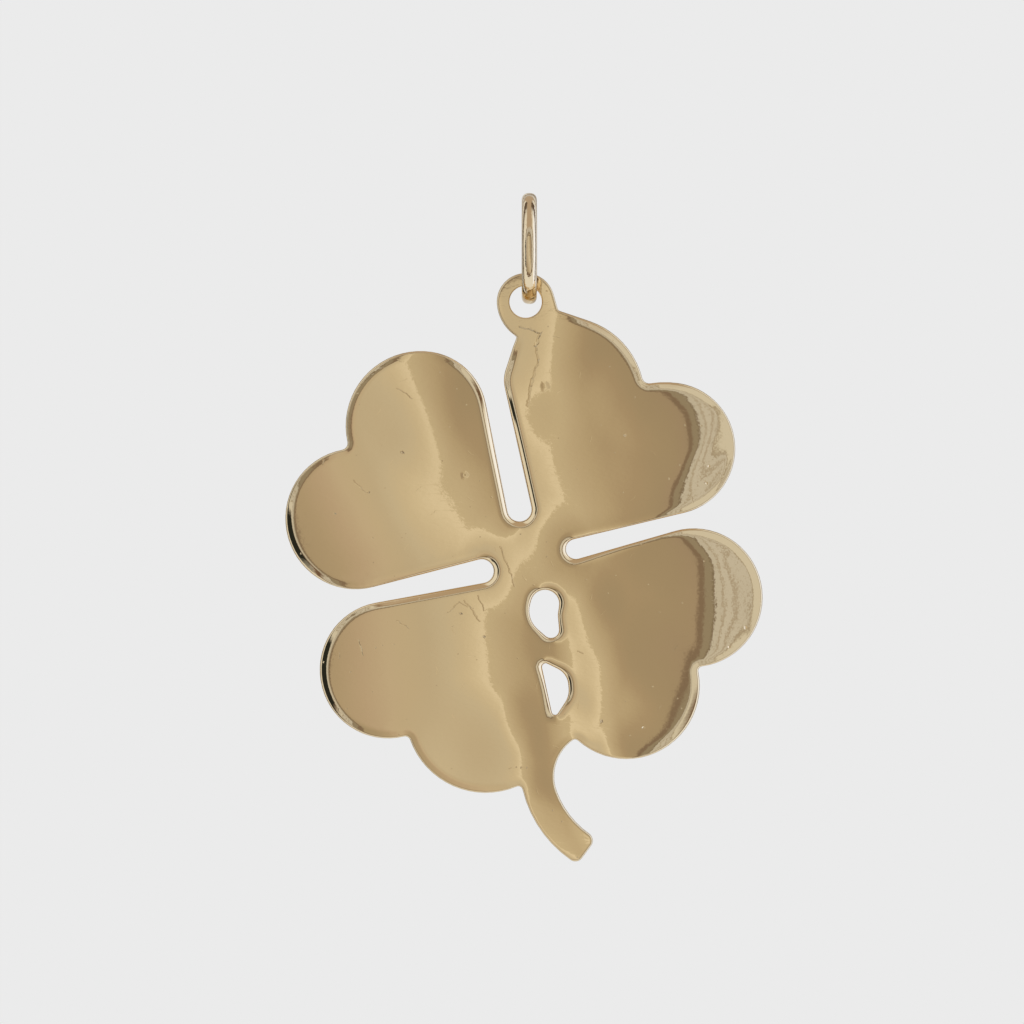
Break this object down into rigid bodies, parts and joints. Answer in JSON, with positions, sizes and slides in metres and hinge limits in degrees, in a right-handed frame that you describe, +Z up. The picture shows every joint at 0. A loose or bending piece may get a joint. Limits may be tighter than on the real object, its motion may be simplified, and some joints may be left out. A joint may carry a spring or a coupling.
{
  "type": "four leaf clover pendant",
  "caption": "Gold clover pendant: a dished plate of heart shaped leaves parted by slots, with a curved stem and a small eye, hanging on a jump ring.",
  "frame": {"origin": "inside of the top of the jump ring, where the chain or cord runs", "axes": "+Z up as it hangs, +X to the right as seen from the front, -Y out of the front towards the viewer"},
  "size_m": [0.0288, 0.0066, 0.0404],
  "materials": {
    "cast_gold": "cast 14 carat yellow gold, polished bright, with fine scratches and small casting pits",
    "ring_gold": "drawn 14 carat yellow gold wire, polished"
  },
  "bodies": {
    "ring": {"jump_ring": "ring_gold"},
    "charm": {"clover": "cast_gold"}
  },
  "joints": [
    {"name": "clover_sway", "type": "hinge", "parent": "ring", "child": "charm", "pos_m": [-0.00022, 0, -0.00565], "axis": [0, 1, 0], "range_deg": [-90, 90]}
  ]
}
